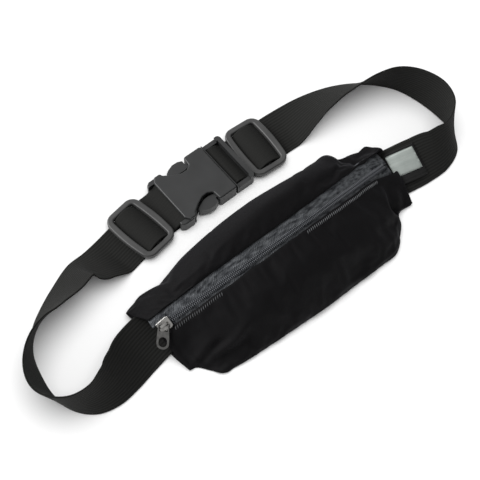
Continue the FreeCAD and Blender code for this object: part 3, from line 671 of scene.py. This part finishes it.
def visible_half(along, side):
    """How far the zipper shows from its centre line before the fabric covers it."""
    if side > 0:
        return 5.0 + 4.6 * smoothstep(along, 88, 109) - 0.3 * smoothstep(-along, 40, 90)
    return 9.9 + 1.4 * smoothstep(along, 30, 95) - 0.6 * smoothstep(-along, 60, 100)


def make_tape(name, side, material):
    """One half of the zipper's cloth: slightly rippled, parted at the slider's post, tapered at its ends."""
    rows, columns = 150, 13
    end = SEAM_REACH + TAPE_PAST_SEAM
    points = []
    metres = []
    for i in range(rows):
        along = -end + 2 * end * i / (rows - 1)
        on_arc = max(-SEAM_REACH, min(SEAM_REACH, along))
        past_arc = X_AXIS * (along - on_arc)
        parted = POST_HALF * ramp(-along, -POST_START, -POST_FULL)
        hidden = TAPE_HIDDEN[side] * smoothstep(SEAM_REACH - abs(along), -1.0, 9.0)
        width = visible_half(along, side) + hidden - parted
        pucker = 0.3 + 0.5 * smoothstep(along, 60, 105)
        for j in range(columns):
            share = j / (columns - 1)
            across = side * (TAPE_GAP + parted + width * share)
            wave = noise.noise(Vector((along * 0.16, across * 0.22, side * 3.0)))
            ripple = pucker * wave * min(1.0, share * 3)
            points.append((zip_at(on_arc, across, ripple - TAPE_UNDER) + past_arc) * MM)
            metres.append((across * MM, along * MM))
    tape = new_piece(name, points, grid_faces(rows, columns), material, metres)
    thicken(tape, TAPE_THICK)
    return tape


def make_coil(name, side, material):
    """One nylon coil: a row of rounded loops that mesh with the other side's."""
    sides, rings = 6, 7
    stagger = 0.5 if side > 0 else 0.0
    points = []
    faces = []
    metres = []
    for loop in range(int((SEAM_REACH - COIL_START) / COIL_PITCH)):
        along = COIL_START + COIL_PITCH * (loop + stagger)
        middle, forward, outward = zip_frame(along)
        faces += tube_faces(rings, sides, len(points), flip=side > 0)
        for ring in range(rings):
            share = ring / (rings - 1)
            across = side * (COIL_WIDTH * share - COIL_OVERLAP)
            height = COIL_RISE * math.sin(math.pi * share) ** 0.8 - COIL_SUNK
            fat = COIL_THREAD * (0.55 + 0.45 * math.sin(math.pi * min(1.0, share + 0.25)))
            centre = middle + ZIP_ACROSS * across
            for corner in range(sides):
                turn = math.tau * corner / sides
                rise = outward * (height + 1.2 * fat * math.sin(turn))
                points.append((centre + rise + forward * fat * math.cos(turn)) * MM)
                metres.append((across * MM, along * MM))
    return new_piece(name, points, faces, material, metres)


def make_zipper():
    """Both halves of the zipper: tape and coil."""
    cloth = zipper_cloth()
    nylon = moulded_plastic("zipper_coil", (0.045, 0.048, 0.054), (0.11, 0.116, 0.128))
    for name, side in (("upper", -1), ("lower", 1)):
        tape = make_tape("tape_" + name, side, cloth)
        ride_as(tape, "pouch", "zipper_tape", "zipper_tape_" + name)
        coil = make_coil("coil_" + name, side, nylon)
        ride_as(coil, "pouch", "zipper_coil", "zipper_coil_" + name)


# ---------------------------------------------------------------- pouch shell

# Along the pouch: X, then Y and Z of the front crease, the bottom front edge, the back's widest line and
# the ridge.
STATIONS = [
    (-108, -20.0, 2.6, -20.5, 1.3, 41.5, 6.0, 36.0, 9.5),
    (-103, -20.0, 3.6, -21.5, 1.2, 43.0, 7.5, 34.0, 14.0),
    (-96, -20.0, 6.0, -29.0, 1.6, 44.5, 9.0, 30.5, 21.5),
    (-89, -20.5, 9.0, -36.6, 2.2, 44.5, 10.0, 28.5, 27.0),
    (-80, -21.5, 13.0, -38.3, 3.0, 44.8, 10.5, 27.0, 32.5),
    (-62, -24.5, 20.0, -41.0, 4.5, 46.5, 12.0, 26.5, 40.0),
    (-35, -28.5, 26.0, -43.0, 6.5, 47.5, 14.0, 27.5, 47.0),
    (0, -30.5, 29.5, -44.7, 8.0, 48.0, 15.0, 29.0, 50.0),
    (35, -30.5, 27.5, -44.7, 7.5, 48.0, 14.5, 28.5, 47.0),
    (60, -29.5, 22.0, -44.5, 6.0, 48.5, 13.0, 29.5, 39.0),
    (70, -28.5, 18.0, -43.6, 5.0, 49.6, 12.0, 30.5, 34.5),
    (76, -27.5, 16.0, -40.2, 4.6, 48.8, 12.0, 31.0, 31.0),
    (82, -26.0, 14.0, -35.0, 4.4, 43.5, 12.0, 30.5, 26.5),
    (88, -24.0, 12.0, -29.5, 4.0, 40.0, 12.0, 30.5, 23.0),
    (95, -19.0, 9.5, -20.0, 4.0, 37.8, 12.0, 30.5, 19.5),
    (102, -18.6, 6.0, -19.2, 3.0, 36.5, 11.0, 31.0, 16.0),
    (108, -18.8, 3.5, -19.3, 2.0, 37.0, 11.0, 32.0, 14.5),
]
# How far the fabric's ends stand out of the plane of the end seams: Y and X.
LEFT_SEAM = [(-22, 2.4), (-3, -0.6), (19.5, -0.8), (30, -4.0), (41, -7.2)]
RIGHT_SEAM = [(-22, -0.4), (-1, 5.4), (25, 6.7), (37, 1.6)]
# The belt's inner face in each end seam: Y and Z of its front edge, then of its back edge.
SEWN_IN = {-1: (-2.2, 1.4, 35.0, 8.6), 1: (-10.0, 1.4, 26.5, 11.9)}
# The fabric's rows beyond the seam: how far each stands out of it and how much it is gathered to the belt.
HEMS = ((0.6, 0.06), (0.2, 0.14), (-2.5, 0.3), (-8.0, 0.55))
SHELL_STEP, SHELL_THICK, SHELL_FLOOR = 2.0, 1.1, 0.3
UNDERSIDE_TOP, UNDERSIDE_REACH, HELD_AT_EDGE = 0.7, 40, 3
# Points along each span of the section, between its corners; the fifth span ends at the bottom front seam.
PROFILE_STEPS = (2, 6, 6, 5, 5, 3, 8, 8, 4, 5, 5, 5, 5, 2)
SPANS_TO_SEAM = 5
CLOTH_FRAMES, CLOTH_PRESSURE, CLOTH_GROWTH, CLOTH_REACH = 20, 2.5, 0.025, 5.0
# Creases and soft ridges in the fabric: points along them, half width and height.
FOLDS = [
    ([(-104, -19, 1.5), (-96.5, -19.2, 8.3), (-88.4, -19.2, 15), (-80.5, -20.2, 18.8)], 3.0, 3.4),
    ([(-99, -22, 5), (-91.9, -22.8, 11), (-86.9, -23, 14), (-81.5, -23.4, 16.4), (-76, -23.5, 18.5)],
     2.6, -7.0),
    ([(-98, -23.5, 5), (-88.7, -25.5, 11), (-79.6, -27.7, 13.4), (-70.7, -28.6, 17), (-60, -27, 24),
      (-48, -26, 29)],
     3.4, 2.6),
    ([(-97, -27, 3), (-86, -30, 7.5), (-76, -32.6, 10.5), (-66, -33.4, 14), (-52, -33, 19)], 4.0, -3.0),
    ([(-92, -35, 3), (-80, -37, 5), (-66, -40, 8)], 3.0, 1.2),
    ([(-106, -6, 9), (-96, -8, 16), (-84, -11, 22)], 3.5, -1.3),
    ([(102, 1, 18), (96.6, -6.7, 18.1), (92.5, -12.5, 17.5), (90, -17, 15.5), (90.5, -22, 10)], 2.4, -3.4),
    ([(89, -16, 16.5), (91, -19, 12), (94, -20.5, 7)], 3.0, -6.0),
    ([(95, 0, 22), (90.5, -7, 22.5), (86.5, -14, 20.5), (84, -20, 17.5)], 3.0, 1.6),
    ([(103, -4, 13), (100, -11, 12), (99, -18, 8)], 3.2, 1.5),
    ([(92, -26, 8), (82, -28.5, 13), (74, -29.5, 17.5), (62, -28.5, 23)], 3.2, -1.9),
    ([(90, -21, 15), (80, -24, 19.5), (68, -24.5, 24)], 3.6, 1.2),
    ([(84, 38, 12), (83, 34, 22), (88, 26, 26), (98, 20, 24)], 4.5, -2.6),
    ([(74, 46, 20), (72, 40, 31), (80, 30, 33)], 5.0, 1.6),
    ([(-100, 36, 12), (-88, 30, 23), (-72, 26, 36)], 5.0, 1.0),
    ([(-110, 28, 10), (-98, 25, 20), (-84, 23, 28)], 3.5, -1.1),
]
# Where the stitches of the front fabric's edge show, along X.
STITCH_RUNS = ((-97.0, -58.0), (16.0, 92.0))
STITCH_PITCH, STITCH_LENGTH, STITCH_SLANT, STITCH_INSET = 1.7, 2.7, -1.0, 0.5
# A stitch's half thickness at its ends and how much more it has at its middle, and the same for its height.
THREAD_END, THREAD_SWELL, THREAD_SUNK, THREAD_RISE = 0.14, 0.26, 0.1, 0.34


def between_rows(table, key):
    """A table's row at a key, by cubic interpolation between its rows."""
    keys = [row[0] for row in table]
    key = min(max(key, keys[0]), keys[-1])
    i = max(k for k in range(len(keys) - 1) if keys[k] <= key)
    gap = keys[i + 1] - keys[i]
    t = (key - keys[i]) / gap

    def slopes(k):
        """How fast each column changes at row k."""
        low, high = max(k - 1, 0), min(k + 1, len(table) - 1)
        return [(b - a) / (keys[high] - keys[low]) for a, b in zip(table[low], table[high])]

    values = [
        one * (2 * t ** 3 - 3 * t * t + 1) + two * (3 * t * t - 2 * t ** 3)
        + gap * leaving * (t ** 3 - 2 * t * t + t) + gap * arriving * (t ** 3 - t * t)
        for one, two, leaving, arriving in zip(table[i], table[i + 1], slopes(i), slopes(i + 1))
    ]
    return values[1:]


def uneven(along, size, pace, seed):
    """A gentle unevenness along the pouch, of a size."""
    return size * noise.noise(Vector((along * pace, seed, 0.0)))


def front_edge(along):
    """How far the front fabric's edge is from the zipper's centre line."""
    return visible_half(along, 1) + uneven(along, 0.7, 0.07, 3.0)


def back_edge(along):
    """How far the back fabric's edge is from the zipper's centre line."""
    return visible_half(along, -1) + uneven(along, 0.5, 0.06, 9.0)


def shell_corners(along):
    """Corners of the shell's section at an X, from the zipper's front round the pouch to its back."""
    crease_y, crease_z, edge_y, edge_z, back_y, back_z, ridge_y, ridge_z = between_rows(STATIONS, along)
    near, far = front_edge(along), back_edge(along)
    under_front, front = zip_at(along, near - 0.5, 0.3), zip_at(along, near + 0.4, 1.7)
    under_back, back = zip_at(along, -far + 0.5, 0.3), zip_at(along, -far - 0.6, 2.5)
    full = smoothstep(SEAM_REACH - abs(along), 0, 60)
    return [
        (under_front.y, under_front.z),
        (front.y, front.z),
        ((front.y + crease_y) / 2 - 0.8 * full, (front.z + crease_z) / 2 + 0.3 + 0.2 * full),
        (crease_y, crease_z),
        ((crease_y + edge_y) / 2 - 0.4 - 1.6 * full, (crease_z + edge_z) / 2 + 0.2 + 0.6 * full),
        (edge_y, edge_z),
        (edge_y + 1.5 + 2.5 * full, 0.4),
        (0.0, 0.4),
        (back_y - 2.0 - 4.0 * full, 0.5 + 0.25 * back_z * (1 - full)),
        (back_y, back_z),
        ((back_y + ridge_y) / 2 + 0.5 + 3.8 * full, (back_z + ridge_z) / 2 + 0.5 + 3.2 * full),
        (ridge_y, ridge_z),
        ((ridge_y + back.y) / 2, (ridge_z + back.z) / 2 + 0.4 - 0.6 * full),
        (back.y, back.z),
        (under_back.y, under_back.z),
    ]


def shell_profile(along):
    """The shell's section at an X: a smooth line through its corners, with PROFILE_STEPS points to a span."""
    corners = shell_corners(along)
    fine = 8
    line = smooth_line(corners, fine)
    profile = []
    for span, steps in enumerate(PROFILE_STEPS):
        for step in range(steps):
            place = fine * (span + step / steps)
            k = int(place)
            share = place - k
            one, two = line[k], line[k + 1]
            profile.append((one[0] + (two[0] - one[0]) * share, one[1] + (two[1] - one[1]) * share))
    profile.append(corners[-1])
    return profile


def seam_shift(along, y):
    """How far a point of the fabric is moved along X, so that its ends follow the end seams."""
    left = smoothstep(-along, 88, SEAM_REACH) * between_rows(LEFT_SEAM, y)[0]
    right = smoothstep(along, 92, SEAM_REACH) * between_rows(RIGHT_SEAM, y)[0]
    return left + right


def shell_rows():
    """The shell's grid of points: one row for each section."""
    rows = []
    for i in range(round(2 * SEAM_REACH / SHELL_STEP) + 1):
        along = -SEAM_REACH + SHELL_STEP * i
        rows.append([Vector((along + seam_shift(along, y), y, z)) for y, z in shell_profile(along)])
    return rows


def make_hems(rim, side):
    """Rows that turn one end of the fabric in towards the belt that is sewn into it."""
    low_y, low_z, high_y, high_z = SEWN_IN[side]
    hems = []
    for reach, gather in HEMS:
        hem = []
        for point in rim:
            y = point.y * (1 - gather * 0.12)
            centre = low_z + (high_z - low_z) * ramp(y, low_y, high_y) + WEB_THICK / 2
            hem.append(Vector((point.x + side * reach, y, point.z + (centre - point.z) * gather)))
        hems.append(hem)
    return hems


def fold_push(point):
    """How far the folds push a point of the fabric out."""
    push = 0.0
    for line, width, height in FOLDS:
        corners = [Vector(corner) for corner in line]
        whole = sum((b - a).length for a, b in zip(corners, corners[1:]))
        nearest, place = math.inf, 0.0
        travelled = 0.0
        for a, b in zip(corners, corners[1:]):
            length = (b - a).length
            share = min(1.0, max(0.0, (point - a).dot(b - a) / length ** 2))
            away = (point - a.lerp(b, share)).length
            if away < nearest:
                nearest, place = away, (travelled + share * length) / whole
            travelled += length
        if nearest < 3 * width:
            fade = smoothstep(min(place, 1 - place), -0.08, 0.35)
            push += height * fade * math.exp(-(nearest / width) ** 2)
    return push


def keep_above(piece, height):
    """Lift the points of a piece that are lower than a height over the table."""
    for vertex in piece.data.vertices:
        vertex.co.z = max(vertex.co.z, height * MM)


def held_points(rows):
    """1 for the points that the cloth keeps in place: edges, hems, bottom seam and the flat underside."""
    columns = len(rows[0])
    hem_rows = len(HEMS) + 1
    bottom_seam = sum(PROFILE_STEPS[:SPANS_TO_SEAM])
    held = []
    for i, row in enumerate(rows):
        for j, point in enumerate(row):
            in_hem = i < hem_rows or i >= len(rows) - hem_rows
            on_edge = j < HELD_AT_EDGE or j >= columns - HELD_AT_EDGE or j == bottom_seam
            flat = point.z < UNDERSIDE_TOP and abs(point.y) < UNDERSIDE_REACH
            held.append(1.0 if in_hem or on_edge or flat else 0.0)
    return held


def settle_cloth(piece, held):
    """Let the fabric fill out and pucker between the points that are held, then keep that shape."""
    group = piece.vertex_groups.new(name="held")
    for index, weight in enumerate(held):
        group.add([index], weight, "REPLACE")
    cloth = piece.modifiers.new("cloth", "CLOTH")
    settings = cloth.settings
    settings.quality = 6
    settings.mass = 0.2
    settings.tension_stiffness = 20
    settings.compression_stiffness = 20
    settings.shear_stiffness = 8
    settings.bending_stiffness = 0.4
    settings.air_damping = 4
    settings.vertex_group_mass = "held"
    settings.use_pressure = True
    settings.uniform_pressure_force = CLOTH_PRESSURE
    settings.shrink_min = -CLOTH_GROWTH
    settings.effector_weights.gravity = 0
    cloth.collision_settings.use_collision = False
    cloth.point_cache.frame_start = 1
    cloth.point_cache.frame_end = CLOTH_FRAMES
    for frame_number in range(1, CLOTH_FRAMES + 1):
        scene.frame_set(frame_number)
    seen = piece.evaluated_get(bpy.context.evaluated_depsgraph_get())
    settled = [vertex.co.copy() for vertex in seen.data.vertices]
    piece.modifiers.remove(cloth)
    scene.frame_set(1)
    for vertex, place in zip(piece.data.vertices, settled):
        move = place - vertex.co
        if move.length > CLOTH_REACH * MM:
            move *= CLOTH_REACH * MM / move.length
        vertex.co += move


def make_shell():
    """The pouch's three fabric panels in one skin."""
    rows = shell_rows()
    rows = make_hems(rows[0], -1)[::-1] + rows + make_hems(rows[-1], 1)
    points = [point * MM for row in rows for point in row]
    shell = new_piece("pouch_shell", points, grid_faces(len(rows), len(rows[0])), shell_fabric())
    settle_cloth(shell, held_points(rows))
    keep_above(shell, SHELL_FLOOR)
    shell.data.update()
    normals = [vertex.normal.copy() for vertex in shell.data.vertices]
    for vertex, normal in zip(shell.data.vertices, normals):
        vertex.co += normal * fold_push(vertex.co / MM) * MM
    keep_above(shell, SHELL_FLOOR)
    thicken(shell, SHELL_THICK)
    smooth = shell.modifiers.new("smooth", "SUBSURF")
    smooth.levels = smooth.render_levels = 1
    apply_modifiers(shell)
    keep_above(shell, 0.0)
    ride_as(shell, "pouch", "shell_fabric", "front_panel", "top_panel", "back_panel")
    return shell


def make_stitches(shell):
    """
    The thread that tacks the front fabric's edge to the tape: short slanted stitches, close together.
    Each is laid on the fabric along rays from above it.
    """
    surface = BVHTree.FromPolygons(
        [vertex.co for vertex in shell.data.vertices],
        [tuple(face.vertices) for face in shell.data.polygons],
    )
    sides, rings = 6, 5
    ray_start = 12.0
    places = [
        start + STITCH_PITCH * stitch
        for start, end in STITCH_RUNS
        for stitch in range(round((end - start) / STITCH_PITCH))
    ]
    points = []
    faces = []
    for along in places:
        edge = front_edge(along) + STITCH_INSET
        _, _, outward = zip_frame(along)
        faces += tube_faces(rings, sides, len(points))
        for ring in range(rings):
            share = ring / (rings - 1)
            above = zip_at(along + STITCH_SLANT * share, edge + STITCH_LENGTH * share, ray_start)
            place, normal, _, _ = surface.ray_cast(above * MM, -outward)
            bow = math.sin(math.pi * share)
            centre = place / MM + normal * (THREAD_RISE * bow - THREAD_SUNK)
            fat = THREAD_END + THREAD_SWELL * bow
            for corner in range(sides):
                turn = math.tau * corner / sides
                points.append((centre + X_AXIS * fat * math.cos(turn) + normal * fat * math.sin(turn)) * MM)
    thread = moulded_plastic("edge_thread", (0.035, 0.0365, 0.039), (0.09, 0.093, 0.098))
    ride_as(new_piece("edge_stitches", points, faces, thread), "pouch", "zipper_tape")


# ---------------------------------------------------------------- hard parts

def dress_nodes():
    """Materials of the rigid parts that keep their own shape."""
    by_slot = {
        "buckle_plastic": moulded_plastic("buckle_plastic", (0.016, 0.0165, 0.0168), (0.026, 0.0265, 0.027)),
        "triglide_plastic": moulded_plastic("triglide_plastic", (0.03, 0.03, 0.0305), (0.06, 0.06, 0.059)),
        "slider_metal": plated_metal("slider_metal", (0.16, 0.157, 0.15), (0.5, 0.49, 0.47), 0.3),
        "pull_metal": plated_metal("pull_metal", (0.07, 0.069, 0.067), (0.2, 0.196, 0.19), 0.34),
    }
    for part in frame["record"]["subparts"]:
        node = frame["nodes"][part["node"]]
        if part["material_slot"] in by_slot:
            node.data.materials.clear()
            node.data.materials.append(by_slot[part["material_slot"]])


make_camera()
make_studio()
make_belt()
make_tab()
make_zipper()
make_stitches(make_shell())
dress_nodes()
